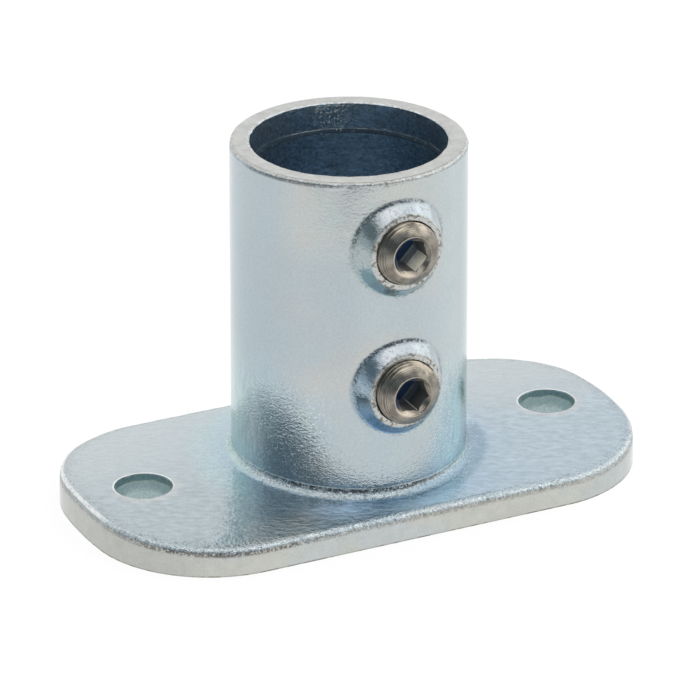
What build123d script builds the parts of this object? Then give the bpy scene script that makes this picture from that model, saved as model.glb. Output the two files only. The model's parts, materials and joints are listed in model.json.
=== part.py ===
from build123d import *
import math
import os

# Base flange for scaffold-size tube: one iron casting and two socket set screws.
# The socket's axis is Z, the underside of the plate is Z = 0, the plate is long in X,
# and the set screws face -Y. All sizes are in millimetres.

# Tube and bore
tube_diameter = 48.3        # outside diameter of the tube that the socket takes
tube_clearance = 0.45       # radial room round the tube in the bore
mouth_depth = 7.2           # depth of the wider mouth, measured from the rim
mouth_relief = 0.6          # radial step from the bore out to the mouth

# Socket
overall_height = 95.25      # underside to rim
wall_thickness = 5.9        # bore to outside, at the rim
socket_flare = 0.3          # draft: the outside is this much bigger in radius at the plate
rim_rounding = 0.9          # outer edge of the rim
mouth_rounding = 0.3        # inner edge of the rim
root_fillet = 2.5           # between socket and plate

# Plate
plate_length = 153.0
plate_width = 81.5
plate_thickness = 9.75      # along the plate's centre line
crown_drop = 2.3            # the top falls by this much to the long edges
end_radius = 115.0          # gentle bow of the two short ends
corner_radius = 33.0
edge_rounding = 2.0         # top edge of the plate
hole_spacing = 117.5
hole_diameter = 14.6
hole_rounding = 0.35        # upper edge of each fixing hole

# Set screw bosses
lower_screw_height = 38.1   # above the underside
upper_screw_drop = 19.05    # below the rim
boss_proud = 2.7            # from the socket's outside to the boss's face
boss_spread = 13.0          # radius of the boss where it meets the socket
boss_lean = 0.35            # the foot's centre sits this much above the screw's
boss_land = 1.75            # ring of face left round the tapped hole
boss_root_depth = 0.45      # how far the widest part of the boss is let into the wall
boss_rounding = 0.7

# Set screws
thread_diameter = 16.6      # over the crests of the pipe thread
thread_clearance = 0.08     # radial
hole_entry = 0.35           # chamfer where the thread enters the boss
screw_length = 11.1
upper_tip_gap = 0.6         # the tips wait this far outside the bore
lower_tip_gap = 1.45
face_chamfer = 1.8          # along the screw, outer end
face_land = 0.3             # flat ring between the chamfer and the key mouth
tip_chamfer = 1.2
cup_radius = 4.2
cup_depth = 1.0
key_width = 8.1             # across the flats of the hexagon
key_mouth = 0.55            # the round mouth is this much larger in radius than the corners
key_depth = 8.4
upper_screw_turn = -14.0    # degrees from level to a corner of the key; a set screw stops at any angle
lower_screw_turn = -10.0

# Sizes that follow
bore_radius = tube_diameter / 2 + tube_clearance
mouth_radius = bore_radius + mouth_relief
socket_radius = bore_radius + wall_thickness
socket_root_radius = socket_radius + socket_flare
upper_screw_height = overall_height - upper_screw_drop
face_plane = socket_radius + boss_proud
thread_radius = thread_diameter / 2
tapped_radius = thread_radius + thread_clearance
boss_face_radius = thread_radius + boss_land
crown_radius = ((plate_width / 2) ** 2 + crown_drop**2) / (2 * crown_drop)


def facing_out(height, distance, turn=0.0):
    """Plane square to the screws, at a distance from the socket's axis, facing -Y."""
    plane = Plane(origin=(0, -distance, height), x_dir=(1, 0, 0), z_dir=(0, -1, 0))
    return plane.rotated((0, 0, turn)) if turn else plane


def plate_outline():
    """Rounded rectangle with bowed ends, each corner arc tangent to its side and its end."""
    half_width = plate_width / 2
    end_centre = plate_length / 2 - end_radius
    rise = half_width - corner_radius
    run = math.sqrt((end_radius - corner_radius) ** 2 - rise**2)
    corner_centre = (end_centre + run, rise)
    bearing = math.atan2(rise, run)
    middle = (bearing + math.pi / 2) / 2
    side_end = (corner_centre[0], half_width)
    corner_middle = (
        corner_centre[0] + corner_radius * math.cos(middle),
        corner_centre[1] + corner_radius * math.sin(middle),
    )
    corner_end = (
        end_centre + end_radius * math.cos(bearing),
        end_radius * math.sin(bearing),
    )
    quarter = [
        Line((0, half_width), side_end),
        ThreePointArc(side_end, corner_middle, corner_end),
        ThreePointArc(
            corner_end,
            (end_centre + end_radius * math.cos(bearing / 2), end_radius * math.sin(bearing / 2)),
            (plate_length / 2, 0),
        ),
    ]
    half = quarter + [edge.mirror(Plane.XZ) for edge in quarter]
    whole = half + [edge.mirror(Plane.YZ) for edge in half]
    return make_face(Wire(whole))


def make_plate():
    """Plate with a crowned top, square at the underside and rounded along the top edge."""
    blank = extrude(plate_outline(), amount=plate_thickness)
    crown = Cylinder(crown_radius, plate_length + plate_width, rotation=(0, 90, 0))
    plate = blank & Pos(0, 0, plate_thickness - crown_radius) * crown
    lowest_top = plate_thickness - crown_drop
    top_edges = [e for e in plate.edges() if e.bounding_box().min.Z > lowest_top - edge_rounding]
    return fillet(top_edges, edge_rounding)


def make_socket():
    """Solid upright with the slight draft it was cast with."""
    shell = [
        (0, 0),
        (socket_root_radius, 0),
        (socket_radius, overall_height),
        (0, overall_height),
    ]
    profile = make_face(Plane.XZ * Polyline(*shell, close=True))
    return revolve(profile, Axis.Z)


def make_boss(height):
    """Raised pad for one set screw: round face, round foot on the curved wall."""
    foot_plane = math.sqrt(socket_radius**2 - boss_spread**2) - boss_root_depth
    depth = face_plane - foot_plane
    foot_height = boss_face_radius + (boss_spread - boss_face_radius) * depth / boss_proud
    face = facing_out(height, face_plane) * Circle(boss_face_radius)
    foot = facing_out(height + boss_lean, foot_plane) * Ellipse(boss_spread, foot_height)
    boss = loft([foot, face], ruled=True)
    rim = boss.edges().filter_by(GeomType.CIRCLE)
    return fillet(rim, boss_rounding)


def make_bore():
    """Bore right through, wider at the mouth, with the rim's inner edge taken off."""
    step = overall_height - mouth_depth
    outline = [
        (0, 0),
        (bore_radius, 0),
        (bore_radius, step),
        (mouth_radius, step),
        (mouth_radius, overall_height - mouth_rounding),
        (mouth_radius + mouth_rounding, overall_height),
        (0, overall_height),
    ]
    return revolve(make_face(Plane.XZ * Polyline(*outline, close=True)), Axis.Z)


def make_tapped_hole(height):
    """Hole for one set screw, from the bore out through the boss, with a small entry chamfer."""
    hole = extrude(facing_out(height, 0) * Circle(tapped_radius), amount=face_plane)
    mouth = facing_out(height, face_plane - hole_entry) * Circle(tapped_radius)
    lip = facing_out(height, face_plane) * Circle(tapped_radius + hole_entry)
    return hole + loft([mouth, lip], ruled=True)


def make_fixing_hole(side):
    """Hole for a floor bolt, its upper edge broken."""
    radius = hole_diameter / 2
    drill = Pos(side * hole_spacing / 2, 0, 0) * extrude(Circle(radius), amount=plate_thickness)
    flare = Circle(radius + hole_rounding)
    lip = loft(
        [
            Pos(side * hole_spacing / 2, 0, plate_thickness - hole_rounding) * Circle(radius),
            Pos(side * hole_spacing / 2, 0, plate_thickness) * flare,
        ],
        ruled=True,
    )
    return drill + lip


def make_casting():
    """The one-piece casting, with its machined holes."""
    body = make_plate() + make_socket()
    reach = socket_root_radius
    seam = [
        e
        for e in body.edges()
        if e.bounding_box().min.Z > edge_rounding
        and e.bounding_box().max.Z < plate_thickness + edge_rounding
        and abs(math.hypot((e @ 0.5).X, (e @ 0.5).Y) - reach) < socket_flare
    ]
    body = fillet(seam, root_fillet)
    rim = body.edges().filter_by(GeomType.CIRCLE).sort_by(Axis.Z)[-1]
    body = fillet(rim, rim_rounding)
    for height in (lower_screw_height, upper_screw_height):
        body += make_boss(height)
    body -= make_bore()
    for height in (lower_screw_height, upper_screw_height):
        body -= make_tapped_hole(height)
    for side in (-1, 1):
        body -= make_fixing_hole(side)
    return body


def make_set_screw(height, tip_gap, turn):
    """Cup point set screw with a hexagon key socket, tip waiting just outside the bore."""
    corner_radius_of_key = key_width / math.sqrt(3)
    mouth = corner_radius_of_key + key_mouth
    land_radius = mouth + face_land
    profile = [
        (0, cup_depth),
        (cup_radius, 0),
        (thread_radius - tip_chamfer, 0),
        (thread_radius, tip_chamfer),
        (thread_radius, screw_length - face_chamfer),
        (land_radius, screw_length),
        (mouth, screw_length),
        (mouth - 2 * key_mouth, screw_length - 2 * key_mouth),
        (0, screw_length - 2 * key_mouth),
    ]
    blank = revolve(make_face(Plane.XZ * Polyline(*profile, close=True)), Axis.Z)
    key = RegularPolygon(key_width / 2, 6, major_radius=False)
    key = Pos(0, 0, screw_length - key_depth) * extrude(key, amount=key_depth)
    screw = Rot(0, 0, turn) * (blank - key)
    return facing_out(height, bore_radius + tip_gap).location * screw


parts = {
    "flange_casting": make_casting(),
    "set_screw_upper": make_set_screw(upper_screw_height, upper_tip_gap, upper_screw_turn),
    "set_screw_lower": make_set_screw(lower_screw_height, lower_tip_gap, lower_screw_turn),
}
os.makedirs("parts", exist_ok=True)
for name, part in parts.items():
    export_step(part, f"parts/{name}.step")
    box = part.bounding_box()
    print(name, "volume", round(part.volume), "box", box.min, box.max)
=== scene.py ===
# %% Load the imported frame
import json
import math

import bmesh
import bpy
import numpy as np
from mathutils import Matrix, Vector


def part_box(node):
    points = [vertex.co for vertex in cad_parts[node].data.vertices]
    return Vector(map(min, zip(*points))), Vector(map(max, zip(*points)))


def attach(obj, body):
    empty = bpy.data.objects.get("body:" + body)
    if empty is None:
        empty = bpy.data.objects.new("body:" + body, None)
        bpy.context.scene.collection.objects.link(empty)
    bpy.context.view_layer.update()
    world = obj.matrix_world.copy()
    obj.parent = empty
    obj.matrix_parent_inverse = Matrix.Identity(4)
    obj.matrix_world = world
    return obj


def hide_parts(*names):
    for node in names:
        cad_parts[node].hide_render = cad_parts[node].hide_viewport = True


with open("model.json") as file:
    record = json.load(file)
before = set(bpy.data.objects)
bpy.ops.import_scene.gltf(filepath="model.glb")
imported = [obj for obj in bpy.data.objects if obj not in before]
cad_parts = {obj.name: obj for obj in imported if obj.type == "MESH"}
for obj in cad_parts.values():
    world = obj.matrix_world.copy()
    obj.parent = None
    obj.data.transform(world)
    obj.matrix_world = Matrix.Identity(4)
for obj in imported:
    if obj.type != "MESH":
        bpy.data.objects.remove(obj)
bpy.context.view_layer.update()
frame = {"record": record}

MM = 0.001

# %% [markdown]
# This lesson dresses a base flange for scaffold tube. The real object is one iron casting, zinc
# plated after its holes were cut, and two plain steel set screws that clamp the tube. The packed
# frame says where everything is, so the first step reads the screw axes from the screws' own
# boxes and the holes from the mounts. Only the small sizes that no box or mount gives, such as a
# wall or a rounding, are written here, in millimetres.

# %% Read the places from the frame
mounts = {mount["name"]: mount for mount in frame["record"]["mounts"]}
low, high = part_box("flange_casting")
bore_radius = mounts["tube_socket"]["dims"]["r_mm"] * MM
hole_offset = mounts["floor_bolts"]["dims"]["spacing_x_mm"] * MM / 2
hole_radius = mounts["floor_bolts"]["dims"]["hole_r_mm"] * MM
rim_height = high.z
half_length = high.x
half_width = high.y


def screw_place(node):
    """Height of a screw's axis, its radius, and the planes of its tip and face, from its box."""
    corner_a, corner_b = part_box(node)
    return (corner_a.z + corner_b.z) / 2, corner_b.x, corner_b.y, corner_a.y


screws = {name: screw_place(name) for name in ("set_screw_upper", "set_screw_lower")}
screw_heights = [place[0] for place in screws.values()]
thread_radius = screws["set_screw_upper"][1]
print("bore", bore_radius, "hole at", hole_offset, "rim at", round(rim_height, 5), "screws at", screw_heights)

# %% Small sizes of the casting
mouth_depth = 7.2 * MM       # the bore is a little wider down to here from the rim
mouth_relief = 0.6 * MM
mouth_rounding = 0.3 * MM
wall = 5.9 * MM
flare = 0.3 * MM             # draft of the socket's outside
rim_rounding = 0.9 * MM
root_fillet = 2.5 * MM
plate_thickness = 9.75 * MM
crown_drop = 2.3 * MM
end_radius = 115.0 * MM
corner_radius = 33.0 * MM
edge_rounding = 2.0 * MM
boss_proud = 2.7 * MM
boss_spread = 13.0 * MM
boss_lean = 0.35 * MM        # the foot's centre sits this much above the screw's
boss_land = 1.75 * MM
boss_root_depth = 0.45 * MM
thread_clearance = 0.08 * MM
mouth_radius = bore_radius + mouth_relief
socket_radius = bore_radius + wall
face_plane = socket_radius + boss_proud
boss_face_radius = thread_radius + boss_land
crown_radius = (half_width**2 + crown_drop**2) / (2 * crown_drop)

# %% [markdown]
# The camera comes first, because it decides how fine each part has to be. It stands well back
# with a long lens, low and to the left of the set screws, so that verticals stay nearly parallel
# and the plate is seen from a little above. The place is worked out from two angles and a
# distance, and the camera turns to look at one point between the plate and the screws.

# %% Camera
view_target = Vector((6.29, 11.99, 30.13)) * MM


def placed(name, data):
    """A new object for data, put in the scene."""
    thing = bpy.data.objects.new(name, data)
    bpy.context.collection.objects.link(thing)
    return thing


def aim(thing, target, bearing, elevation, distance):
    """Put a camera or lamp away from a point, at angles in degrees, and make it look there."""
    bearing, elevation = math.radians(bearing), math.radians(elevation)
    level = math.cos(elevation)
    out = Vector((math.cos(bearing) * level, math.sin(bearing) * level, math.sin(elevation)))
    thing.location = target + distance * out
    thing.rotation_euler = out.to_track_quat("Z", "Y").to_euler()


lens = bpy.data.cameras.new("camera")
lens.sensor_width = 36
lens.lens = 249.9
lens.clip_end = 50
camera = placed("camera", lens)
aim(camera, view_target, bearing=-116.3, elevation=24.18, distance=1.27465)
bpy.context.scene.camera = camera
bpy.context.scene.view_settings.view_transform = "Standard"
print("camera at", [round(v, 3) for v in camera.location])

# %% [markdown]
# Shader and geometry graphs are easier to read as sums than as lists of boxes and wires. A small
# class wraps a socket, so that `1 - mask * 0.5` adds the Math nodes by itself. Colours and vectors
# need the Mix and Vector Math nodes, because a Math node would turn a colour grey. Every other
# node comes from one method, `add`, which sets the node's own settings before its sockets.

# %% Socket expressions
class Signal:
    """One output socket that Python's operators work on."""

    def __init__(self, graph, socket):
        self.graph = graph
        self.socket = socket

    def math(self, operation, *values):
        return self.graph.add("ShaderNodeMath", {"operation": operation}, dict(enumerate(values)))

    def __neg__(self):
        return self * -1

    def __abs__(self):
        return self.math("ABSOLUTE", self)

    def least(self, other):
        return self.math("MINIMUM", self, other)

    def most(self, other):
        return self.math("MAXIMUM", self, other)

    def within(self, low, high):
        return self.most(low).least(high)

    def done(self, operation):
        """A Math operation on this signal alone, such as SINE."""
        return self.math(operation, self)

    def smooth(self, start, end):
        """0 below start, 1 above end, eased between them; start may be above end."""
        sockets = {"Value": self, "From Min": start, "From Max": end}
        return self.graph.add("ShaderNodeMapRange", {"interpolation_type": "SMOOTHSTEP"}, sockets)

    def ramp(self, start, end):
        """A smooth step between two lengths in millimetres."""
        return self.smooth(start * MM, end * MM)

    def also(self, name):
        """Another output of the same node."""
        return Signal(self.graph, self.socket.node.outputs[name])


operators = {"add": "ADD", "sub": "SUBTRACT", "mul": "MULTIPLY", "truediv": "DIVIDE", "pow": "POWER"}
for word, operation in operators.items():      # signal + 1 calls __add__, and 1 + signal calls __radd__
    setattr(Signal, f"__{word}__", lambda self, other, kind=operation: self.math(kind, self, other))
    setattr(Signal, f"__r{word}__", lambda self, other, kind=operation: self.math(kind, other, self))


class Graph:
    """A node tree that nodes are added to."""

    def __init__(self, tree):
        self.tree = tree

    def add(self, kind, settings=None, sockets=None, output=0):
        node = self.tree.nodes.new(kind)
        for name, value in (settings or {}).items():
            setattr(node, name, value)
        for name, value in (sockets or {}).items():
            self.feed(node.inputs[name], value)
        return Signal(self, node.outputs[output]) if len(node.outputs) else node

    def feed(self, socket, value):
        if isinstance(value, Signal):
            self.tree.links.new(value.socket, socket)
        else:
            socket.default_value = (*value, 1) if socket.type == "RGBA" else value

    def mix(self, factor, first, second):
        sockets = {0: factor, 6: first, 7: second}
        return self.add("ShaderNodeMix", {"data_type": "RGBA"}, sockets, output=2)

    def coats(self, tint, layers):
        """Colours laid over a tint in turn, each by its own share."""
        for share, colour in layers:
            tint = self.mix(share, tint, colour)
        return tint

    def noise(self, vector, size, detail=2.0, roughness=0.5):
        """Soft noise from 0 to 1 whose blobs are about size millimetres across."""
        sockets = {"Vector": vector, "Scale": 1 / (size * MM), "Detail": detail, "Roughness": roughness}
        return self.add("ShaderNodeTexNoise", None, sockets)

    def vector(self, x=0, y=0, z=0):
        return self.add("ShaderNodeCombineXYZ", sockets={0: x, 1: y, 2: z})

    def scaled(self, vector, scale):
        return self.add("ShaderNodeVectorMath", {"operation": "SCALE"}, {0: vector, "Scale": scale})

    def split(self, vector):
        x = self.add("ShaderNodeSeparateXYZ", sockets={0: vector})
        return x, x.also("Y"), x.also("Z")

    def length(self, x, y):
        return (x * x + y * y) ** 0.5


print("socket expressions ready")

# %% [markdown]
# A bright metal has hardly a colour of its own: it shows what stands round it. So the studio is built as the
# metal sees it. The floor and the wall behind are white, the light overhead is white and broad, and the side
# where the camera stands is dimmer near the horizon, as a room is. That dim band draws the dark shapes on the
# socket's foot, and together with the painted shade in the creases, the dark line under each edge.

# %% Surroundings
world = bpy.data.worlds.new("studio")
world.use_nodes = True
bpy.context.scene.world = world
world.node_tree.nodes.clear()
sky = Graph(world.node_tree)
direction = sky.add("ShaderNodeTexCoord", output="Generated")
dir_x, dir_y, dir_z = sky.split(direction)
room_x, room_y = -0.75, -0.66      # level direction to the middle of the room
facing_room = (dir_x * room_x + dir_y * room_y).smooth(0.0, 0.55)
low = dir_z.smooth(0.68, 0.56)
to_left = dir_x.smooth(-0.45, -0.70)
haze = dir_z.smooth(0.22, 0.10) * to_left
dim = sky.mix(haze, (0.205, 0.255, 0.29), (0.60, 0.66, 0.70))
room = sky.mix(facing_room * low, (1, 1, 1), dim)
straight = sky.add("ShaderNodeLightPath", output="Is Camera Ray")
seen = sky.mix(straight, room, (1, 1, 1))
light = sky.add("ShaderNodeBackground", sockets={"Color": seen, "Strength": 1.0})
sky.add("ShaderNodeOutputWorld", sockets={"Surface": light})
print("world nodes:", len(world.node_tree.nodes))

# %% [markdown]
# Two oblong lamps are the studio's softboxes. The wide one high in front gives the bosses and the
# socket's face their glints, and its straight edges end those glints sharply, as a real box does.
# The one on the right keeps that flank of the socket from going grey.

# %% Softboxes
def softbox(name, width, height, power, **where):
    """An oblong lamp that faces the middle of the socket."""
    lamp = bpy.data.lights.new(name, "AREA")
    lamp.shape = "RECTANGLE"
    lamp.size, lamp.size_y = width, height
    lamp.energy = power
    aim(placed(name, lamp), Vector((0, 0, rim_height / 2)), **where)


softbox("softbox_front", 2.6, 0.56, power=1.8, bearing=-74, elevation=53, distance=1.3)
softbox("softbox_right", 1.5, 0.7, power=1.5, bearing=-6, elevation=23, distance=1.3)
print("softboxes:", len(bpy.data.lights))

# %% [markdown]
# The floor is a plain white sheet that runs far past the view. It has to be white where it is seen and still
# take the object's soft shadow, so most of its brightness is its own and the rest is the light that falls on
# it. Seen in the metal, its far part towards the room glows a dim blue-grey instead, darker to the left: a
# painted reflection of the room's dim side.

# %% Floor
def new_material(name):
    material = bpy.data.materials.new(name)
    material.use_nodes = True
    material.node_tree.nodes.clear()
    return material, Graph(material.node_tree)


floor_half = 6.0
floor_mesh = bpy.data.meshes.new("floor")
floor_mesh.from_pydata(
    [(sx * floor_half, sy * floor_half, 0) for sx, sy in ((-1, -1), (1, -1), (1, 1), (-1, 1))],
    [],
    [(0, 1, 2, 3)],
)
floor = placed("floor", floor_mesh)
paper, graph = new_material("white_sheet")
ray = graph.add("ShaderNodeLightPath", output="Is Camera Ray")
mirrored = ray.also("Is Glossy Ray") + ray.also("Is Transmission Ray")
lit = graph.add("ShaderNodeBsdfDiffuse", sockets={"Color": (0.95, 0.95, 0.95)})
place = graph.add("ShaderNodeTexCoord", output="Object")
x, y, z = graph.split(place)
# painted reflection: towards the room the floor glows dim for mirrored rays only, darker to the left
toward_room = (x * -0.62 - y * 0.78).smooth(0.20, 0.36) * mirrored
left_share = (x / graph.length(x, y)).smooth(-0.45, -0.70)
dim_room_in_mirror = graph.mix(left_share, (0.23, 0.28, 0.325), (0.60, 0.66, 0.70))
glow = graph.mix(toward_room, (1, 1, 1), dim_room_in_mirror)
own = graph.add("ShaderNodeEmission", sockets={"Color": glow, "Strength": 1.03})
both = graph.add("ShaderNodeMixShader", sockets={0: 0.88, 1: lit, 2: own})
shown = (ray + mirrored).within(0, 1)
sheet = graph.add("ShaderNodeMixShader", sockets={0: shown, 1: lit, 2: both})
graph.add("ShaderNodeOutputMaterial", sockets={"Surface": sheet})
floor_mesh.materials.append(paper)
print("floor half width", floor_half)

# %% [markdown]
# The casting is one skin that can be swept round the socket's axis: up the bore, over the rim,
# down the outside, round the fillet, out over the plate, down its edge and back underneath. Each
# station of the sweep is a closed ring with the same number of points, so the skin is a grid with
# no seams. A grid takes fine unevenness well, which a CAD mesh of a few long faces can't. On the
# plate the rings turn from circles into the plate's outline, a rectangle with round corners and
# bowed ends.

# %% Columns of the sweep
def graded(start, stop, spacing):
    """Stations from start to stop whose steps follow spacing(station)."""
    stations = [start]
    sign = math.copysign(1, stop - start)
    while (stop - stations[-1]) * sign > 0:
        stations.append(stations[-1] + sign * spacing(stations[-1]))
    stations = np.array(stations)
    return start + (stations - start) * (stop - start) / (stations[-1] - start)


boss_side = math.radians(30)      # half of the sector that holds the bosses
fine_column = math.radians(0.72)
coarse_column = math.radians(1.24)
front = -math.pi / 2
bearings = np.concatenate([
    graded(front - boss_side, front + boss_side, lambda a: fine_column)[:-1],
    graded(front + boss_side, front - boss_side + 2 * math.pi, lambda a: coarse_column)[:-1],
])
cos_b, sin_b = np.cos(bearings), np.sin(bearings)
print("columns:", len(bearings))


# %% Plate outline and crown
def outline(inset):
    """Where each column meets the plate's outline moved in by inset, and the outline's normal there."""
    end_centre = half_length - end_radius
    rise = half_width - corner_radius
    run = math.sqrt((end_radius - corner_radius) ** 2 - rise**2)
    centre = np.array([end_centre + run, rise])
    tilt = math.atan2(rise, run)
    x_dir, y_dir = np.abs(cos_b), np.abs(sin_b)
    bearing = np.arctan2(y_dir, x_dir)
    side_starts = math.atan2(half_width - inset, centre[0])
    arc = end_radius - inset
    end_stops = math.atan2(arc * math.sin(tilt), end_centre + arc * math.cos(tilt))

    def to_circle(middle, radius):
        along = x_dir * middle[0] + y_dir * middle[1]
        aside = x_dir * middle[1] - y_dir * middle[0]
        return along + np.sqrt(np.maximum(radius**2 - aside**2, 0))

    reach_side = (half_width - inset) / np.maximum(y_dir, 1e-6)
    corner_arc = corner_radius - inset
    reach_corner = to_circle(centre, corner_arc)
    reach_end = to_circle((end_centre, 0), arc)
    on_side, on_end = bearing > side_starts, bearing < end_stops
    reach = np.where(on_side, reach_side, np.where(on_end, reach_end, reach_corner))
    x, y = x_dir * reach, y_dir * reach
    normal_x = np.where(on_end, (x - end_centre) / arc, (x - centre[0]) / corner_arc)
    normal_y = np.where(on_end, y / arc, (y - centre[1]) / corner_arc)
    normal_x, normal_y = np.where(on_side, 0, normal_x), np.where(on_side, 1, normal_y)
    side_x, side_y = np.sign(cos_b), np.sign(sin_b)
    return x * side_x, y * side_y, normal_x * side_x, normal_y * side_y


def crown(y):
    """Height of the plate's top, which falls a little to the long edges."""
    return plate_thickness - crown_radius + np.sqrt(crown_radius**2 - y**2)


inner_x, inner_y, out_x, out_y = outline(edge_rounding)
widest = float((inner_x + out_x * edge_rounding).max())
print("outline reach: x", round(widest, 5), "of", round(half_length, 5))


# %% [markdown]
# The rings follow one another from the foot of the bore round to the underside, closer together where the
# shape turns. Each one also carries marks for later: how near it is to an edge, how much the skin may dip
# there, how deep it lies in a hollow, how ragged the burr is, and whether it is in a crease that is painted
# darker as shade.

# %% One ring
rings = []      # each ring: x, y, z of its points, then the attributes in this order
ATTRIBUTES = ("edge", "skin", "hollow", "burr", "crease")


def ring(x, y, z, edge=0.0, skin=1.0, hollow=0.0, burr=0.0, crease=0.0):
    n = len(bearings)
    values = (x, y, z, edge, skin, hollow, burr, crease)
    rings.append([np.broadcast_to(np.asarray(v, float), (n,)) for v in values])


def round_ring(radius, height, **marks):
    ring(radius * cos_b, radius * sin_b, height, **marks)


def quarter_turn(steps):
    return np.linspace(0, math.pi / 2, steps + 1)[1:]


def fade(distance, reach):
    """1 at no distance, falling off over a reach in millimetres."""
    return np.exp(-distance / (reach * MM))


def bell(distance, reach):
    """1 at no distance, falling off to both sides."""
    return np.exp(-((distance / reach) ** 2))


# %% Rings of the bore and the rim
step_height = rim_height - mouth_depth
step_softness = 0.9 * MM
for height in np.linspace(0, step_height - step_softness, 32):
    round_ring(bore_radius, height, skin=min(1, height / root_fillet))
for share in np.linspace(0, 1, 6)[1:]:
    widening = share * share * (3 - 2 * share)
    round_ring(bore_radius + mouth_relief * widening, step_height - step_softness * (1 - share), edge=0.5)
for height in np.linspace(step_height, rim_height - mouth_rounding, 14)[1:]:
    near_rim = fade(rim_height - height, 1.0)
    round_ring(mouth_radius, height, edge=0.2 + 0.6 * near_rim, burr=0.5 * near_rim)
rim_inner = mouth_radius + mouth_rounding
gate_side = 0.3 + 0.7 * np.clip(-sin_b, 0, 1) ** 2      # the rough side of the rim, where the iron ran in
rim_outer = socket_radius - rim_rounding
for radius in np.linspace(rim_inner, rim_outer, 12):
    near_mouth = fade(radius - rim_inner, 0.5)
    round_ring(radius, rim_height, edge=0.35 + 0.5 * near_mouth, burr=0.5 * near_mouth)
for turn in quarter_turn(6):
    round_ring(
        rim_outer + rim_rounding * math.sin(turn),
        rim_height - rim_rounding * (1 - math.cos(turn)),
        edge=1.0,
        burr=math.sin(turn) * gate_side,
        crease=math.sin(turn) ** 10,
    )

# %% Rings of the wall and the root
root_top = crown(socket_radius * sin_b) + root_fillet
boss_zone = boss_spread + 1.5 * MM


def wall_spacing(height):
    near = min(abs(height - h) for h in screw_heights)
    near_rim = rim_height - height < 4 * MM
    return 0.40 * MM if near < boss_zone or near_rim else 1.0 * MM


wall_top = rim_height - rim_rounding
wall_foot = float(root_top.mean())
for height in graded(wall_top, wall_foot, wall_spacing)[1:]:
    share = (wall_top - height) / (wall_top - wall_foot)
    z = wall_top + (root_top - wall_top) * share
    radius = socket_radius + flare * (1 - z / rim_height)
    round_ring(
        radius,
        z,
        edge=fade(wall_top - height, 0.45),
        hollow=0.3 * fade(height - wall_foot, 2.5),
        burr=bell(wall_top - height, 0.45 * MM) * gate_side,
        crease=bell(wall_top - height, 0.8 * MM),
    )

root_radius = socket_radius + flare * (1 - root_top / rim_height)
for turn in quarter_turn(9):
    radius = root_radius + root_fillet * (1 - math.cos(turn))
    rest = crown((root_radius + root_fillet) * sin_b)
    flat = math.sin(turn) ** 6
    round_ring(
        radius,
        rest + (root_top - rest) * (1 - math.sin(turn)),
        edge=0.9 - 0.6 * flat,
        hollow=0.2 + 0.8 * flat,
        crease=bell(turn - 0.28, 0.30),
    )

# %% Rings of the plate
foot_x, foot_y = (root_radius + root_fillet) * cos_b, (root_radius + root_fillet) * sin_b
for share in np.linspace(0, 1, 32)[1:]:
    x, y = foot_x + (inner_x - foot_x) * share, foot_y + (inner_y - foot_y) * share
    away = np.hypot(x - foot_x, y - foot_y)
    ring(x, y, crown(y), edge=share**16, hollow=fade(away, 6.0))
shoulder = crown(inner_y)
for turn in quarter_turn(6):
    out = edge_rounding * math.sin(turn)
    z = shoulder - edge_rounding * (1 - math.cos(turn))
    ring(inner_x + out_x * out, inner_y + out_y * out, z, edge=1.0, crease=math.sin(turn) ** 8)
rim_x, rim_y = inner_x + out_x * edge_rounding, inner_y + out_y * edge_rounding
for share in np.linspace(0, 1, 8)[1:]:
    fading = (1 - share) ** 3
    z = (shoulder - edge_rounding) * (1 - share)
    ring(rim_x, rim_y, z, edge=fading * 0.5, skin=1 - share**6, crease=fading * 0.4)
for share in np.linspace(0, 1, 7)[1:-1]:
    x = rim_x + (bore_radius * cos_b - rim_x) * share
    y = rim_y + (bore_radius * sin_b - rim_y) * share
    ring(x, y, 0, skin=0)
print("rings:", len(rings), "quads:", len(rings) * len(bearings))

# %% [markdown]
# Each screw sits in a boss, a low cone with a flat face that grows out of the round wall. The
# wall's points are pushed out along the screw axis to the cone's height. A smooth maximum of wall
# and cone makes the blend at the foot, and a smooth minimum of cone and face makes the round rim.

# %% Bosses
def smooth_max(a, b, width):
    blend = np.clip(0.5 + 0.5 * (a - b) / width, 0, 1)
    return b + (a - b) * blend + width * blend * (1 - blend)


def push_boss(x, y, z, height):
    """New y of points near one screw axis, how near the boss's rim they are, and how near its foot."""
    foot_plane = math.sqrt(socket_radius**2 - boss_spread**2) - boss_root_depth
    depth = face_plane - foot_plane
    foot_height = boss_face_radius + (boss_spread - boss_face_radius) * depth / boss_proud
    share = np.zeros_like(x)
    for _ in range(3):      # the foot leans up, so the cone's centre depends on how deep a point is
        up = z - height - boss_lean * share
        radius = np.hypot(x, up)
        turn = np.arctan2(up, x)
        foot_radius = 1 / np.hypot(np.cos(turn) / boss_spread, np.sin(turn) / foot_height)
        share = np.clip((radius - boss_face_radius) / (foot_radius - boss_face_radius), 0, 1)
    cone = face_plane - depth * (radius - boss_face_radius) / (foot_radius - boss_face_radius)
    pad = -smooth_max(-cone, np.full_like(cone, -face_plane), 0.5 * MM)
    pushed = -smooth_max(-y, pad, 0.35 * MM)
    near = (radius < boss_zone) & (y < 0)
    rim = np.where(near, bell(radius - boss_face_radius, 0.6 * MM), 0)
    foot = np.where(near, fade(np.abs(-y - cone), 0.7), 0)
    return np.where(near, pushed, y), rim, foot


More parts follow.
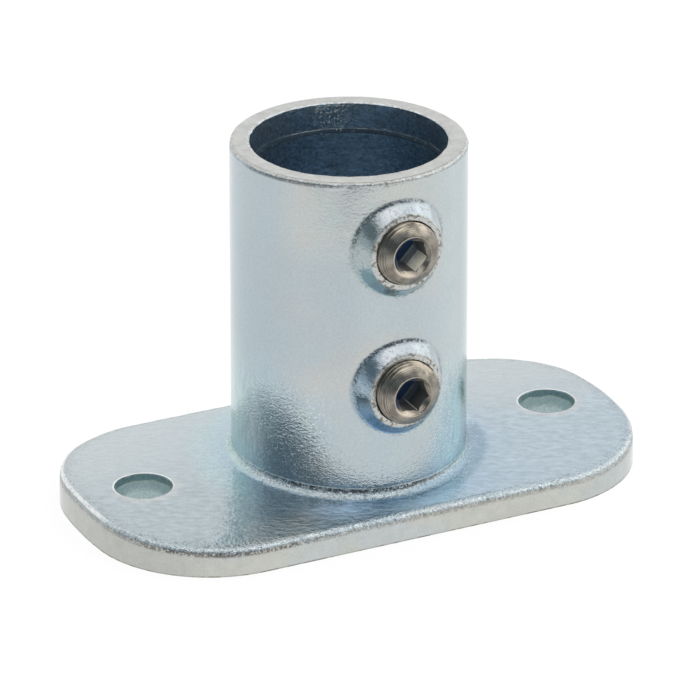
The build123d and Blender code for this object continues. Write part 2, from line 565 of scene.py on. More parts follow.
grid = np.array([r[:3] for r in rings])           # ring, axis, column
marks = np.array([r[3:] for r in rings])          # ring, attribute, column
wall_rings = grid[:, 2, :].min(axis=1) > plate_thickness
outside = np.hypot(grid[:, 0, :], grid[:, 1, :]).min(axis=1) > socket_radius - 0.1 * MM
for i in np.flatnonzero(wall_rings & outside):
    for height in screw_heights:
        grid[i, 1], rim, foot = push_boss(grid[i, 0], grid[i, 1], grid[i, 2], height)
        marks[i, 0] = np.maximum(marks[i, 0], np.maximum(rim * 0.6, foot * 0.7))
        marks[i, 4] = np.maximum(marks[i, 4], foot)
print("furthest boss point y:", round(float(grid[:, 1].min()), 5), "face plane:", round(-face_plane, 5))

# %% [markdown]
# The rings now become one mesh that closes both ways round, like the surface of a ring doughnut,
# so it has an inside and an outside. The marks go with it as attributes that later trees read by
# name. The sign of the enclosed volume tells whether the faces look outwards.

# %% Join the rings into one closed skin
def face_outwards(mesh):
    """Turn the faces over where the signed volume is negative, and give the volume."""
    solid = bmesh.new()
    solid.from_mesh(mesh)
    volume = solid.calc_volume(signed=True)
    solid.free()
    if volume < 0:
        mesh.flip_normals()
    return abs(volume)


here = np.arange(grid[:, 0].size).reshape(len(rings), -1)
after = np.roll(here, -1, axis=0)
quads = np.stack([here, np.roll(here, -1, axis=1), np.roll(after, -1, axis=1), after], axis=-1)
casting_mesh = bpy.data.meshes.new("flange_skin")
casting_mesh.from_pydata(grid.transpose(0, 2, 1).reshape(-1, 3).tolist(), [], quads.reshape(-1, 4).tolist())
for i, attribute in enumerate(ATTRIBUTES):
    layer = casting_mesh.attributes.new(attribute, "FLOAT", "POINT")
    layer.data.foreach_set("value", marks[:, i].astype(np.float32).ravel())
casting = placed("flange_skin", casting_mesh)
print("skin volume, cm3:", round(face_outwards(casting_mesh) * 1e6, 2))

# %% [markdown]
# A casting is never quite flat: the mould's sand and the zinc leave shallow dips, and every free
# edge wanders a little. A small geometry tree gives that to the skin. It moves points inwards, so
# the piece keeps its real size, and it moves the edges more than the walls. Only the rough side of
# the rim, where the iron ran in, gets small lumps that stand out sideways. The underside was
# ground flat, so there the mark that scales the dips is zero.

# %% Geometry tree helpers
def new_tree(name, numbers):
    """A geometry tree that takes geometry, named numbers and a material, and a signal for each."""
    tree = bpy.data.node_groups.new(name, "GeometryNodeTree")
    inputs = {"Geometry": "Geometry", **dict.fromkeys(numbers, "Float"), "Material": "Material"}
    for label, kind in inputs.items():
        tree.interface.new_socket(label, in_out="INPUT", socket_type="NodeSocket" + kind)
    tree.interface.new_socket("Geometry", in_out="OUTPUT", socket_type="NodeSocketGeometry")
    graph = Graph(tree)
    first = graph.add("NodeGroupInput")
    return graph, {label: first.also(label) for label in inputs}


def end_tree(graph, geometry, material):
    """Every tree ends in plain geometry with its material set."""
    plain = graph.add("GeometryNodeRealizeInstances", sockets={"Geometry": geometry})
    painted = graph.add("GeometryNodeSetMaterial", sockets={"Geometry": plain, "Material": material})
    graph.add("NodeGroupOutput", sockets={"Geometry": painted})


def run_tree(obj, graph, values):
    """Give obj the tree, with its inputs set by identifier."""
    modifier = obj.modifiers.new(graph.tree.name, "NODES")
    modifier.node_group = graph.tree
    for item in graph.tree.interface.items_tree:
        if item.in_out == "INPUT" and item.name in values:
            modifier[item.identifier] = values[item.name]


def settle(obj, sharp_degrees):
    """Turn what the modifiers made into the object's own mesh, smooth but for its sharp edges."""
    bpy.context.view_layer.update()
    depsgraph = bpy.context.evaluated_depsgraph_get()
    mesh = bpy.data.meshes.new_from_object(obj.evaluated_get(depsgraph), depsgraph=depsgraph)
    obj.modifiers.clear()
    obj.data = mesh
    mesh.shade_smooth()
    mesh.set_sharp_from_angle(angle=math.radians(sharp_degrees))
    mesh.calc_loop_triangles()
    return mesh


# %% Cast skin tree
cast, given = new_tree("cast_skin", ("Wall dip", "Edge dip", "Wave", "Edge wave", "Burr", "Seed"))
point = cast.add("GeometryNodeInputPosition")


def waves(wavelength, detail, seed=0):
    sockets = {"Vector": point, "Scale": 1 / wavelength, "Detail": detail, "W": given["Seed"] + seed}
    return cast.add("ShaderNodeTexNoise", {"noise_dimensions": "4D"}, sockets)


def mark(name):
    """A stored attribute, read by name."""
    return cast.add("GeometryNodeInputNamedAttribute", {"data_type": "FLOAT"}, {"Name": name})


wall_dip = waves(given["Wave"], 3.0) * given["Wall dip"]
edge_dip = waves(given["Edge wave"], 4.0, 7) * given["Edge dip"] * mark("edge")
dip = (wall_dip + edge_dip) * mark("skin")
lumps = waves(3.2 * MM, 4.0, 21).smooth(0.42, 0.72)
rise = lumps * given["Burr"] * mark("burr")
normal = cast.add("GeometryNodeInputNormal")
level = cast.add("ShaderNodeVectorMath", {"operation": "MULTIPLY"}, {0: normal, 1: (1, 1, 0)})
burred, sunk = cast.scaled(level, rise), cast.scaled(normal, dip * -1)
moved = cast.add("ShaderNodeVectorMath", {"operation": "ADD"}, {0: burred, 1: sunk})
dipped = cast.add("GeometryNodeSetPosition", sockets={"Geometry": given["Geometry"], "Offset": moved})
end_tree(cast, dipped, given["Material"])
print("cast skin nodes:", len(cast.tree.nodes))

# %% [markdown]
# The holes were drilled and tapped after casting, so they are cut from the finished skin: four
# turned cutters, joined into one mesh, and one exact boolean. The screw holes get the small
# countersink that a tap needs, and the floor bolt holes a rounded lip.

# %% Cutters
points, faces = [], []      # of all the cutters


def turn_cutter(profile, place, segments=96):
    """Add a solid turned round its own Z from (radius, height) pairs."""
    first = len(points)
    turns = np.linspace(0, 2 * math.pi, segments, endpoint=False)
    for radius, height in profile:
        points.extend(place @ Vector((radius * math.cos(t), radius * math.sin(t), height)) for t in turns)
    for a in range(first, len(points) - segments, segments):
        for i in range(segments):
            j = (i + 1) % segments
            faces.append((a + i, a + j, a + segments + j, a + segments + i))
    faces.append(tuple(reversed(range(first, first + segments))))
    faces.append(tuple(range(len(points) - segments, len(points))))


tapped_radius = thread_radius + thread_clearance
entry = 0.35 * MM
lip = 0.6 * MM
beyond = 6 * MM
facing_out = Matrix.Rotation(math.pi / 2, 4, "X")
for height in screw_heights:
    profile = [
        (tapped_radius, mouth_radius - beyond),
        (tapped_radius, face_plane - entry),
        (tapped_radius + entry, face_plane),
        (tapped_radius + entry, face_plane + beyond),
    ]
    turn_cutter(profile, Matrix.Translation((0, 0, height)) @ facing_out)
for side in (-1, 1):
    arc = [
        (hole_radius + lip * (1 - math.cos(turn)), plate_thickness - lip + lip * math.sin(turn))
        for turn in np.linspace(0, math.pi / 2, 6)
    ]
    profile = [(hole_radius, -beyond), *arc, (hole_radius + lip, plate_thickness + beyond)]
    turn_cutter(profile, Matrix.Translation((side * hole_offset, 0, 0)))
cutter_mesh = bpy.data.meshes.new("cutters")
cutter_mesh.from_pydata(points, [], faces)
face_outwards(cutter_mesh)
cutter = placed("cutters", cutter_mesh)
print("cutter faces:", len(faces))

# %% [markdown]
# Zinc plate over a cast skin is bright but not a mirror, and no two places of it look alike. Each
# place is found by a mask, a number from 0 to 1. It comes from where a point is, from the way the
# surface faces there, or from the marks that the rings stored, so it fits the shape exactly.

# %% Zinc plate: places
def stored(name):
    return graph.add("ShaderNodeAttribute", {"attribute_name": name}, output="Fac")


def nearest_screw(z):
    """1 at the upper screw and 0 at the lower one, and the height above that screw's axis."""
    upper = z.math("GREATER_THAN", z, sum(screw_heights) / 2)
    return upper, z - screw_heights[1] - upper * (screw_heights[0] - screw_heights[1])


zinc, graph = new_material("zinc_plate")
place = graph.add("ShaderNodeTexCoord", output="Object")
x, y, z = graph.split(place)
facing_x, facing_y, facing_z = graph.split(graph.add("ShaderNodeNewGeometry", output="Normal"))
right_x, right_y = 0.8965, -0.4431      # level direction from one bright flank to the other
across, along = x * right_x + y * right_y, y * right_x - x * right_y
from_middle = abs(across)
from_axis = graph.length(x, y)
from_hole = graph.length(abs(x) - hole_offset, y)
below_rim = rim_height - z
forward = -y

edge, hollow, crease = stored("edge"), stored("hollow"), stored("crease")
in_bore = (from_axis - mouth_radius).ramp(0.25, 0.05)
on_rim = below_rim.ramp(0.7, 0.3) * (1 - in_bore)
in_hole = (from_hole - hole_radius).ramp(0.25, 0.1)
on_lip = (from_hole - hole_radius).ramp(0.9, 0.5) * (1 - in_hole)
on_side = abs(facing_z).smooth(0.45, 0.25) * (z - plate_thickness).ramp(0, -3.25)
on_side = on_side * (1 - in_hole) * (1 - in_bore)
on_top = facing_z.smooth(0.85, 0.95) * z.ramp(14, 12)
in_front = forward.ramp(26, 33)
beside_tube = from_axis.ramp(37, 35)
low_down = z.ramp(50, 20) * beside_tube
at_flanks = from_middle.ramp(18, 27) * low_down
upper, above_screw = nearest_screw(z)
from_screw = graph.length(x, above_screw)
on_boss = (from_screw - boss_spread).ramp(0.8, 0) * forward.ramp(15, 20)
on_face = (forward - face_plane).ramp(-0.6, -0.25) * on_boss
on_cone = on_boss * (1 - on_face)
print("nodes for the places:", len(zinc.node_tree.nodes))

# %% [markdown]
# Noise makes the rest of the pattern. Each texture has the size of one real thing, from clouds of the plating
# bath as wide as a thumb down to grit of half a millimetre. Some are stretched: ripples that run from side to
# side on the plate, and runs up and down the socket's flanks.

# %% Zinc plate: patterns
clouds = graph.noise(place, 22, 3.0).smooth(0.40, 0.62)
beige = graph.noise(place, 16).smooth(0.42, 0.60)
green = graph.noise(place, 9).smooth(0.50, 0.72)
patches = graph.noise(place, 3.0, 4.0)
brown = graph.noise(place, 1.1, 3.0)
spots = graph.noise(place, 0.8, 1.0)
grit = graph.noise(place, 0.55, 3.0, 0.6)
drawn = graph.vector(across * 0.45, along, z)
ripple = graph.noise(drawn, 1.3)
fine = graph.noise(drawn, 0.6, 3.0, 0.6)
runs = graph.noise(graph.vector(x, y, z * 0.3), 1.6, 3.0)

# %% [markdown]
# The plating leaves a faint blue with warm and greenish clouds, warmer towards the top and bluer low down.
# Over that lies painted light and shade. The socket is tinted lighter where it faces right and darker and
# bluer towards its edges, and a painted sheen lays teal streaks and an aqua border low on its flanks and cyan
# specks on the plate left of the root. The blue in the hollow round the root, on the plate's front and under
# each boss is painted reflection, with a painted light blue glow by the root. Each boss has a painted lilac
# highlight on its crest and its left slope painted darker, and the right of the root fillet is painted dark
# over its glint. The bore is tinted a darker blue as painted shade, and the holes are darker near their top
# and lighter below, with a painted highlight on the back of each lip. The ground faces of rim and bosses are
# a plain warm grey. Each colour is laid over the last one by its own share, so the list reads from the ground
# up.

# %% Zinc plate: tint, painted light and shade
waist = z.ramp(82, 70) * z.ramp(38, 50)
# painted shade: surfaces turned towards the right edge are tinted darker
turned_right = (facing_x * right_x + facing_y * right_y).smooth(0.86, 0.99)
# painted sheen: an aqua border low on each flank
at_border = from_middle.ramp(25, 30) * low_down * (0.45 - 0.15 * across.ramp(0, 10))
# painted reflection: the plate's top is tinted bluer and darker towards the front
front_tint = graph.mix(x.ramp(-20, 25), (0.455, 0.525, 0.555), (0.46, 0.55, 0.61))
top_tint = graph.mix(forward.ramp(-20, 15), (0.52, 0.58, 0.6), front_tint)
# painted sheen: cyan specks on the plate left of the root
left_of_root = on_top * from_axis.ramp(46, 37) * across.ramp(-20, -27)
# painted light: a lighter grey in front and to the left of the root, lifting the plate's dark reflection
# there
lifted_reflection = on_top * in_front * across.ramp(-30, -22) * across.ramp(-4, -12)
# painted light: a light blue glow on the plate in front of the root
painted_glow = from_axis.ramp(44, 35) * on_top * in_front * across.ramp(-28, -17)
painted_glow = painted_glow * across.ramp(10, -2) * (0.3 + 0.9 * ripple)
# painted reflection: blue on the downward faces under each boss
under = on_boss * facing_z.smooth(-0.06, -0.3) * (0.6 + 0.6 * ripple) * x.ramp(6, -2)
under_tint = graph.mix(upper, (0.33, 0.5, 0.7), (0.37, 0.53, 0.58))
# painted shade: the left slope of each boss is tinted a darker blue-grey
slope_left = on_boss * facing_x.smooth(-0.2, -0.45) * (1 - under).within(0, 1)
left_tint = graph.mix(upper, (0.29, 0.385, 0.46), (0.38, 0.445, 0.44))
side_tint = graph.mix(beige, (0.525, 0.56, 0.55), (0.555, 0.555, 0.51))
side_tint = graph.mix(x.ramp(-50, -70), side_tint, (0.475, 0.48, 0.445))
hole_depth = (z + patches * 1.6 * MM).ramp(8.8, 7.8)
hole_tint = graph.mix(hole_depth, (0.23, 0.34, 0.36), (0.52, 0.64, 0.65))
hole_tint = graph.mix(hole_depth * (1 - hole_depth) * 3, hole_tint, (0.7, 0.77, 0.7))
beside_hole = on_top * forward.ramp(-2, 3) * from_hole.ramp(10.5, 8.5)
# painted shade: the bore is tinted a darker blue, lighter towards the right
bore_tint = graph.mix(x.ramp(-14, 6), (0.35, 0.46, 0.56), (0.4, 0.52, 0.62))
# painted highlight: a lilac-white tint on the upper crest of each boss, darkened towards its right end so the
# glint fades there
crest = on_cone * above_screw.ramp(2, 5) * x.ramp(-9, -5)
crest_tint = graph.mix(x.ramp(-6, 0), (0.535, 0.56, 0.605), (0.42, 0.475, 0.515))
crest_tint = graph.mix(x.ramp(2.8, 4.2), crest_tint, (0.44, 0.5, 0.53))
# painted shade: dark blue over the lower part of the root fillet on the right front, covering its glint
root_right = facing_z.smooth(0.35, 0.65) * beside_tube * z.ramp(13, 12) * x.ramp(-6, 8)

tint = graph.mix(clouds, (0.47, 0.54, 0.572), (0.53, 0.545, 0.535))
tint = graph.coats(tint, [
    (z.ramp(60, 85) * 0.6, (0.56, 0.575, 0.55)),
    (z.ramp(45, 25) * 0.6, (0.455, 0.54, 0.585)),
    # painted light and shade by facing: lighter where the socket faces right, darker and bluer at its left
    # edge and on its left side at mid height
    (facing_x.smooth(0.05, 0.6) * 0.8, (0.53, 0.605, 0.63)),
    (green * 0.5, (0.49, 0.575, 0.56)),
    (facing_x.smooth(-0.72, -0.95) * 0.7, (0.405, 0.5, 0.555)),
    (turned_right * 0.6, (0.4, 0.475, 0.5)),
    (facing_x.smooth(-0.25, -0.5) * waist * 0.5, (0.425, 0.49, 0.525)),
    # painted sheen: teal and darker streaks low on the flanks
    (at_flanks * runs.smooth(0.46, 0.58) * 0.5, (0.48, 0.65, 0.64)),
    (at_flanks * runs.smooth(0.46, 0.36) * 0.5, (0.3, 0.42, 0.45)),
    (at_border, (0.5, 0.73, 0.7)),
    (on_top, top_tint),
    (left_of_root * grit.smooth(0.44, 0.6) * 0.6, (0.44, 0.7, 0.69)),
    # painted reflection: blue in the hollow round the root, stronger in front
    (hollow * on_top * (0.3 + 0.5 * in_front), (0.27, 0.44, 0.64)),
    (lifted_reflection * 0.8, (0.63, 0.63, 0.61)),
    (painted_glow, (0.55, 0.74, 0.95)),
    (under * 0.85, under_tint),
    (slope_left * 0.8, left_tint),
    (on_side * 0.9, side_tint),
    (on_rim.most(on_face), (0.565, 0.575, 0.555)),
    (in_hole, hole_tint),
    (beside_hole * 0.5, (0.6, 0.6, 0.59)),
    # painted highlight: white on the back of each bolt hole's lip
    (on_lip * on_top * forward.ramp(8, -6), (0.84, 0.86, 0.86)),
    (in_bore, bore_tint),
    (crest * 0.8, crest_tint),
    (root_right * forward.ramp(0, 8) * 0.85, (0.27, 0.38, 0.47)),
])

# %% [markdown]
# A tint that is even looks painted. So its strength varies too: by grit everywhere, by painted light and
# shade that follows the ripple relief on the plate and in the bore, and by small painted glints where the
# dark reflection falls on the socket's foot and low on its right flank.

# %% Zinc plate: painted ripple shade, glints and grain
on_floor_side = on_top * (0.22 + 0.33 * forward.ramp(-15, 10))
# painted light and shade: the tint follows the ripple relief on the plate and in the bore
painted_ripple_shade = (ripple - 0.5) * (on_floor_side + in_bore * 0.9)
mottle = (patches - 0.5) * (on_rim + on_side * 0.5) * 0.5
grain_shade = (fine - 0.5) * in_bore * 1.8 + (grit - 0.5) * (0.3 + in_bore * 0.4 + in_hole * 0.9)
# painted glints: bright specks on the front of the socket's foot and low on its right flank
foot_front = z.ramp(45, 20) * facing_x.smooth(-0.52, -0.72) * beside_tube * forward.ramp(0, 12)
painted_glints = foot_front * grit.smooth(0.55, 0.68) * 0.6
painted_glints = painted_glints + at_flanks * across.ramp(8, 16) * grit.smooth(0.53, 0.66) * 0.3
tint = graph.scaled(tint, 1 + painted_glints + grain_shade + painted_ripple_shade + mottle)

# %% [markdown]
# Painted shade darkens the creases in crumbly patches: round the upper left of each boss, under the rim,
# above the root and below the plate's edge. Painted highlights lie in specks along the free edges, most of
# all at the plate's left end, and at the back of the rim's mouth. Brown crumbs of mould sand stay in the
# ground faces, and a painted dark line along the plate's bottom edge stands for its contact shadow. The step
# in the bore is painted dark as shade, a few grains of yellow passivate glitter above it, and small painted
# glints fleck the bore.

# %% Zinc plate: painted shade, painted highlights and specks
# painted shade: crumbly dark patches in the creases round each boss, above the root, under the rim and along
# the plate's edges
boss_corner = (above_screw * 0.75 - x * 0.65).ramp(2, 6) * above_screw.ramp(0.5, 3.5)
root_front = forward.ramp(5, 18) * z.ramp(15, 14) * beside_tube * x.ramp(22, 2)
plate_corner = (1 - beside_tube) * (0.35 + 0.5 * forward.ramp(15, 30) * x.ramp(-15, -40))
shaded_places = (on_boss * boss_corner + root_front + plate_corner).within(0, 1)
shade_breakup = (brown * 0.5 + grit * 0.5).smooth(0.42, 0.52)
rim_left = x.ramp(-13, -17)
rim_painted_shadow = crease.smooth(0.75 - 0.45 * rim_left, 0.95) * below_rim.ramp(4, 3)
rim_painted_shadow = rim_painted_shadow * (0.3 + 0.5 * rim_left) * forward.ramp(0, 6)
rim_painted_shadow = rim_painted_shadow * (shade_breakup * (1 - rim_left * 0.5) + rim_left * 0.5)
crease_shade = (crease.smooth(0.25, 0.85) * shaded_places * shade_breakup).most(rim_painted_shadow)
crease_shade_tint = graph.mix(beside_tube, (0.1, 0.085, 0.085), (0.055, 0.068, 0.076))
# painted highlights: bright specks on the edge roundings, most of all at the plate's left end
rounding = edge.smooth(0.8, 0.97) * (1 - on_boss)
rounding = rounding * facing_z.smooth(0.35, 0.55) * facing_z.smooth(0.97, 0.82)
left_end = x.ramp(-66, -71) * forward.ramp(18, 8) * brown.smooth(0.28, 0.42)
# painted highlight: bright crumbs on the back of the rim's inner edge
at_mouth = (from_axis - mouth_radius).ramp(1.0, 0.5) * below_rim.ramp(0.6, 0.3)
at_mouth = at_mouth * brown.smooth(0.42, 0.52) * forward.ramp(5, -10)
flecks = brown.smooth(0.52, 0.42) * on_face * patches.smooth(0.4, 0.5)
flecks = flecks.most(brown.smooth(0.43, 0.38) * on_cone * 0.3)
pits = spots.smooth(0.38, 0.33) * edge * 0.5 * (from_screw - boss_spread).ramp(1.5, 3)
# painted shadow: a dark line along the plate's bottom edge, for its contact shadow
bottom_shadow = z.ramp(0.5, 0.15) * (0.35 + 0.65 * patches.smooth(0.46, 0.6)) * on_side
# painted shade: the step in the bore is tinted nearly black and made rough
from_ledge = abs(z - step_height + step_softness / 2)
step_shade = in_bore * from_ledge.ramp(0.85, 0.45)
from_gold = graph.length(graph.length(x - 7.5 * MM, y - 24 * MM), z - rim_height + 2 * MM)
gold = in_bore * grit.smooth(0.565, 0.62) * from_gold.ramp(8, 2) * (1 - step_shade)
tint = graph.coats(tint, [
    # painted shade in the creases
    (crease_shade * 0.9, crease_shade_tint),
    (rounding * (grit.smooth(0.5, 0.62) * 0.6).most(left_end), (0.86, 0.88, 0.89)),
    (at_mouth * 0.8, (0.8, 0.85, 0.88)),
    # real brown flecks and pits, and the painted contact shadow along the bottom edge
    (flecks.most(pits).most(bottom_shadow) * 0.75, (0.13, 0.105, 0.08)),
    (step_shade * 0.97, (0.038, 0.06, 0.084)),
    (gold, (0.85, 0.8, 0.62)),
    # painted glints: small bright flecks in the bore
    (in_bore * grit.smooth(0.67, 0.72), (0.8, 0.9, 0.95)),
])

# %% [markdown]
# The fine relief, about a millimetre from crest to crest, breaks every reflection's border into specks while
# open areas stay calm. It is far too small to model, so it goes into a Bump node: sand grain low on the
# socket, an orange peel in the bore, crumbled edges. The zinc is a metal nearly everywhere. In the holes, on
# the gold grains and under the painted light blue glow by the root it is partly a dull coat, so there
# Metallic drops.

# %% Zinc plate: relief
near_foot = z.ramp(45, 15) * (1 - on_side) * (1 - in_hole)
calm = 1 - (on_side * 0.8).most(in_hole * 0.5)
relief = graph.noise(graph.vector(x, y, z * 1.8), 1.1) * (0.035 + 0.052 * near_foot)
grain = graph.noise(place, 0.45) * (0.014 + 0.07 * near_foot * (1 - on_top))
peel = graph.noise(place, 1.9) * 0.16 * in_bore + ripple * on_top * (0.05 + 0.1 * in_front)
rough_edge = graph.noise(place, 0.8, 3.0) * edge * (1 - in_hole) * 0.38
height = (relief + grain * (1 + 2 * in_bore + 2 * on_rim)) * calm + peel + rough_edge
bump = graph.add("ShaderNodeBump", sockets={"Strength": 1.0, "Distance": MM, "Height": height})
roughness = 0.13 + clouds * 0.03 + edge * 0.14 + (on_rim + on_face) * 0.12 + in_bore * 0.2 + step_shade * 0.3
metal = graph.add("ShaderNodeBsdfPrincipled", sockets={
    "Base Color": tint,
    "Metallic": 1 - gold.most(in_hole * 0.65).most(painted_glow * 0.7),
    "Roughness": roughness,
    "Normal": bump,
})
graph.add("ShaderNodeOutputMaterial", sockets={"Surface": metal})
print("zinc nodes:", len(zinc.node_tree.nodes))

# %% [markdown]
# The tree with the dips runs first and the boolean after it, so the holes stay true to size in an
# uneven skin, as drilled holes do in a real casting. Then both are turned into a plain mesh.

# %% Finish the casting
run_tree(casting, cast, {
    "Wall dip": 0.14 * MM,
    "Edge dip": 0.34 * MM,
    "Wave": 9.0 * MM,
    "Edge wave": 2.6 * MM,
    "Burr": 0.6 * MM,
    "Seed": 3.0,
    "Material": zinc,
})
cut = casting.modifiers.new("holes", "BOOLEAN")
cut.operation = "DIFFERENCE"
cut.solver = "EXACT"
cut.object = cutter
casting_mesh = settle(casting, 38)
bpy.data.objects.remove(cutter)
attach(casting, "flange")
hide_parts("flange_casting")
print("casting triangles:", len(casting_mesh.loop_triangles), "materials:", len(casting_mesh.materials))

# %% [markdown]
# A set screw is a short threaded stud with a hexagon socket. Its thread follows a rule: the
# radius depends only on how far along and how far round a point is. So a geometry tree bends a
# flat grid into the screw. Every row of the grid climbs one pitch in a turn, so crests lie along
# rows and stay crisp, and the last column meets the first one a pitch further on. The same tree
# makes both screws, each with its own height and turn.

# %% Set screw tree
bend, given = new_tree("set_screw", (
    "Radius", "Length", "Pitch", "Thread depth", "Shoulder", "Land radius",
    "Key mouth", "Key corner", "Key depth", "Turn", "Tip plane", "Height",
))
rows_a_pitch = 12
columns_round = 144
row_count = 280
sheet = bend.add("GeometryNodeMeshGrid", sockets={
    "Size X": 1.0,
    "Size Y": 1.0,
    "Vertices X": columns_round + 1,
    "Vertices Y": row_count + 1,
})
grid_x, grid_y, _ = bend.split(bend.add("GeometryNodeInputPosition"))
round_share = grid_x + 0.5
radius, length, pitch = given["Radius"], given["Length"], given["Pitch"]
walked = (grid_y + 0.5) * row_count * pitch / rows_a_pitch + (round_share - 1) * pitch
along = (walked - radius).within(0, length)
in_from_tip = walked.within(0, radius)
in_from_face = (walked - radius - length).within(0, radius)

phase = (along / pitch - round_share) * 2 * math.pi
groove = given["Thread depth"] * 0.5 * (1 - phase.done("COSINE"))
shoulder, land = given["Shoulder"], given["Land radius"]
into_shoulder = ((along - length + shoulder) / shoulder).within(0, 1)
slant = 1 - into_shoulder * (0.55 + 0.45 * into_shoulder)
shoulder_radius = land + (radius - land) * slant
tip_radius = radius - (shoulder - along).within(0, shoulder)
across = (in_from_tip - in_from_face).least(radius - groove).least(shoulder_radius).least(tip_radius)

cup = (0.5 * radius - across).within(0, 1) * (0.5 - along / length).within(0, 1) * 0.5
mouth_cone = (given["Key mouth"] - across).within(0, 1.1 * MM) * (along / length - 0.5).within(0, 0.5) * 2
level = along + cup - mouth_cone
angle = round_share * 2 * math.pi
bent = bend.vector(across * angle.done("COSINE"), across * angle.done("SINE"), level)
stud = bend.add("GeometryNodeSetPosition", sockets={"Geometry": sheet, "Position": bent})
stud = bend.add("GeometryNodeMergeByDistance", sockets={"Geometry": stud, "Distance": 0.002 * MM})

clear = 1 * MM
prism = bend.add("GeometryNodeMeshCylinder", sockets={
    "Vertices": 6,
    "Radius": given["Key corner"],
    "Depth": given["Key depth"] + clear,
})
prism = bend.add("GeometryNodeTransform", sockets={
    "Geometry": prism,
    "Translation": bend.vector(z=length - (given["Key depth"] - clear) / 2),
    "Rotation": bend.vector(z=given["Turn"]),
})
keyed = bend.add("GeometryNodeMeshBoolean", {"operation": "DIFFERENCE", "solver": "EXACT"}, {
    "Mesh 1": stud,
    "Mesh 2": prism,
})
seated = bend.add("GeometryNodeTransform", sockets={
    "Geometry": keyed,
    "Translation": bend.vector(y=given["Tip plane"], z=given["Height"]),
    "Rotation": (math.pi / 2, 0, 0),
})
end_tree(bend, seated, given["Material"])
print("set screw nodes:", len(bend.tree.nodes))

# %% [markdown]
# The screws are bare steel, darker and warmer than the zinc. The fine rings that a lathe leaves on the
# shoulder are painted dark as shade on its upper left only, and painted highlights lie at the top of the
# shoulder, round the mouth of the key hole and low inside that mouth. Inside, the hole is dark with the oxide
# of hardening, and painted shade adds blue towards its depth on the walls that face down and right, and navy
# on its floor. One wall of the upper screw's key hole is painted as lit, brightest down to where the mouth's
# shadow would begin, and one corner of the lower one carries a painted highlight line. The lit wall's normal
# leans outwards, so that it catches the light that a polished one would.

# %% Steel: places
key_width = 8.1 * MM
key_corner = key_width / math.sqrt(3)
key_mouth = key_corner + 0.55 * MM
upper_face, lower_face = (-place[3] for place in screws.values())

steel, graph = new_material("screw_steel")
place = graph.add("ShaderNodeTexCoord", output="Object")
x, y, z = graph.split(place)
upper, up = nearest_screw(z)
depth = y + lower_face + upper * (upper_face - lower_face)
from_axis = graph.length(x, up)
clouds = graph.noise(place, 3, 3.0).smooth(0.35, 0.65)
tint = graph.mix(clouds, (0.195, 0.18, 0.155), (0.33, 0.303, 0.258))

facing_x, _, facing_z = graph.split(graph.add("ShaderNodeNewGeometry", output="Normal"))
right_down = (facing_x * 0.8 - facing_z * 0.6).smooth(0.0, 0.4)
in_mouth = (from_axis - key_mouth).ramp(-0.02, -0.12)
in_key = in_mouth * (depth - MM * right_down).ramp(0.95, 1.15)
in_key = in_key.most(in_mouth * depth.ramp(0.05, 0.15) * right_down)
oxide_and_shade = graph.mix(depth.ramp(6, 7.5), (0.11, 0.11, 0.095), (0.24, 0.26, 0.25))
# painted shade: blue, deepening with depth, on the key walls that face down and right
key_shade_blue = graph.mix(depth.ramp(1, 3), (0.035, 0.05, 0.1), (0.17, 0.29, 0.66))


def beyond_wall(bearing):
    """Distance past the plane of one wall of the key hole, given the wall's bearing from level."""
    bearing = math.radians(bearing)
    return x * math.cos(bearing) + up * math.sin(bearing) - key_width / 2


def at_wall(bearing):
    """1 on that wall and a tenth of a millimetre to both sides of it."""
    beyond = beyond_wall(bearing)
    return beyond.ramp(-0.12, -0.05) * beyond.ramp(0.15, 0.05)


# %% Steel: painted light and shade
# painted light in the key: bearings of the lit wall, the wall beside it and the highlit corner
lit_wall, next_wall, highlit_corner = -44, -104, -70      # bearings from level, in degrees
on_floor = depth.ramp(8.25, 8.35)
floor_near = beyond_wall(lit_wall).ramp(-0.9, -0.7) * on_floor
# over the dark oxide goes painted shade: blue on walls facing down and right, and navy on the floor away from
# the lit wall
oxide_and_shade = graph.coats(oxide_and_shade, [(right_down, key_shade_blue), (on_floor * (1 - floor_near), (0.035, 0.085, 0.17))])
# painted highlight: a thin bright line round the key's mouth, stronger on the left
at_lip = abs(from_axis - key_mouth - 0.06 * MM).ramp(0.14, 0.06)
at_lip = at_lip * depth.ramp(0.2, 0.1) * (0.2 + 0.5 * x.ramp(3, -1))
# painted shade: the lathe rings on the shoulder are drawn dark on its upper left only
grooves = (from_axis * (2 * math.pi / (0.42 * MM))).done("SINE").smooth(0.0, 0.9)
grooves = grooves * from_axis.ramp(6.8, 7.2) * (x - up * 0.5).ramp(1, -4)
# painted highlights: warm glints at the top of the shoulder and low in the key's mouth
crown_glint = (up * 0.97 + x * 0.24).ramp(5.2, 6.6) * clouds * 0.45
mouth_glint = (up * -0.91 - x * 0.41).ramp(3.9, 4.7) * (1 - right_down) * 0.5
glint = crown_glint.most(mouth_glint * from_axis.ramp(6.0, 5.4))
corner_x, corner_up = (key_corner * part(math.radians(highlit_corner)) for part in (math.cos, math.sin))
from_corner = graph.length(x - corner_x, up - corner_up)
# painted highlight: a thin line along one corner of the lower screw's key
corner_highlight = from_corner.ramp(0.13, 0.08) * (1 - upper)
lit_breakup = graph.noise(place, 0.7, 3.0).smooth(0.3, 0.5)
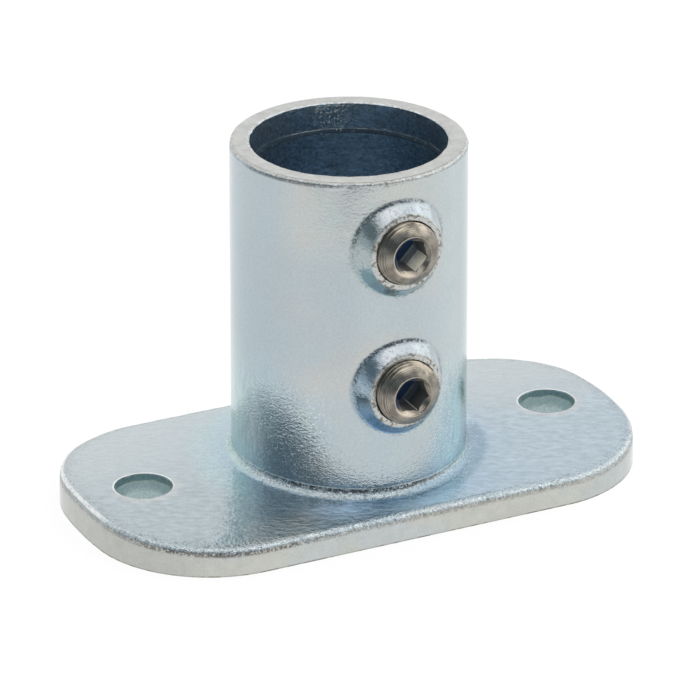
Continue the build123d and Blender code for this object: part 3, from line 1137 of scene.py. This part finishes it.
# painted light: the upper screw's key wall, lit in patches, brightest down to where the mouth's shadow would
# begin
painted_wall_light = at_wall(lit_wall) * (0.8 + 0.2 * lit_breakup) * (0.35 + 0.65 * depth.ramp(6.4, 6.0))
painted_wall_light = painted_wall_light.most(at_wall(next_wall) * 0.05).most(floor_near * 0.3) * upper
painted_key_light = in_key * painted_wall_light.most(corner_highlight)
tint = graph.coats(tint, [
    (in_key, oxide_and_shade),
    (at_lip, (0.7, 0.62, 0.5)),
    (grooves * 0.6, (0.07, 0.06, 0.05)),
    (glint, (0.8, 0.7, 0.56)),
    (painted_key_light, (1.0, 0.94, 0.72)),
])
relief = graph.noise(place, 0.6, 2.0) * 0.016
lathe_feed = 0.38 * MM
rings_cut = ((from_axis + clouds * 0.1 * MM) * (2 * math.pi / lathe_feed)).done("SINE") * 0.007
bump = graph.add("ShaderNodeBump", sockets={"Strength": 1.0, "Distance": MM, "Height": relief + rings_cut})
outward = graph.vector(-0.2, -0.55, 0.8)
# the painted lit wall's normal leans outwards so that it catches more light
leaning = graph.add("ShaderNodeMix", {"data_type": "VECTOR"}, {0: painted_key_light * 0.85, 4: bump, 5: outward}, output=1)
metal = graph.add("ShaderNodeBsdfPrincipled", sockets={
    "Base Color": tint,
    "Metallic": 1 - in_key,
    "Roughness": 0.2 + clouds * 0.06 + in_key * 0.2 + painted_key_light * 0.3,
    "Specular IOR Level": 0.2,
    "Normal": leaning,
})
graph.add("ShaderNodeOutputMaterial", sockets={"Surface": metal})
print("steel nodes:", len(steel.node_tree.nodes))

# %% [markdown]
# Both screws come from the one tree. The thread is 3/8 inch pipe thread, 19 turns to the inch. A
# set screw stops wherever it bites, so each has its own turn and stands at its own depth.

# %% Make the set screws
pitch = 1.337 * MM
turns = {"set_screw_upper": -14.0, "set_screw_lower": -10.0}
bodies = {"set_screw_upper": "upper_screw", "set_screw_lower": "lower_screw"}
for node, (height, radius, tip, face) in screws.items():
    screw = placed(node + "_thread", bpy.data.meshes.new(node + "_thread"))
    run_tree(screw, bend, {
        "Radius": radius,
        "Length": tip - face,
        "Pitch": pitch,
        "Thread depth": 0.856 * MM,
        "Shoulder": 1.9 * MM,
        "Land radius": key_mouth + 0.3 * MM,
        "Key mouth": key_mouth,
        "Key corner": key_corner,
        "Key depth": 8.4 * MM,
        "Turn": math.radians(turns[node]),
        "Tip plane": tip,
        "Height": height,
        "Material": steel,
    })
    mesh = settle(screw, 40)
    volume = face_outwards(mesh)
    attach(screw, bodies[node])
    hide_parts(node)
    print(node, "triangles:", len(mesh.loop_triangles), "volume mm3:", round(volume * 1e9))
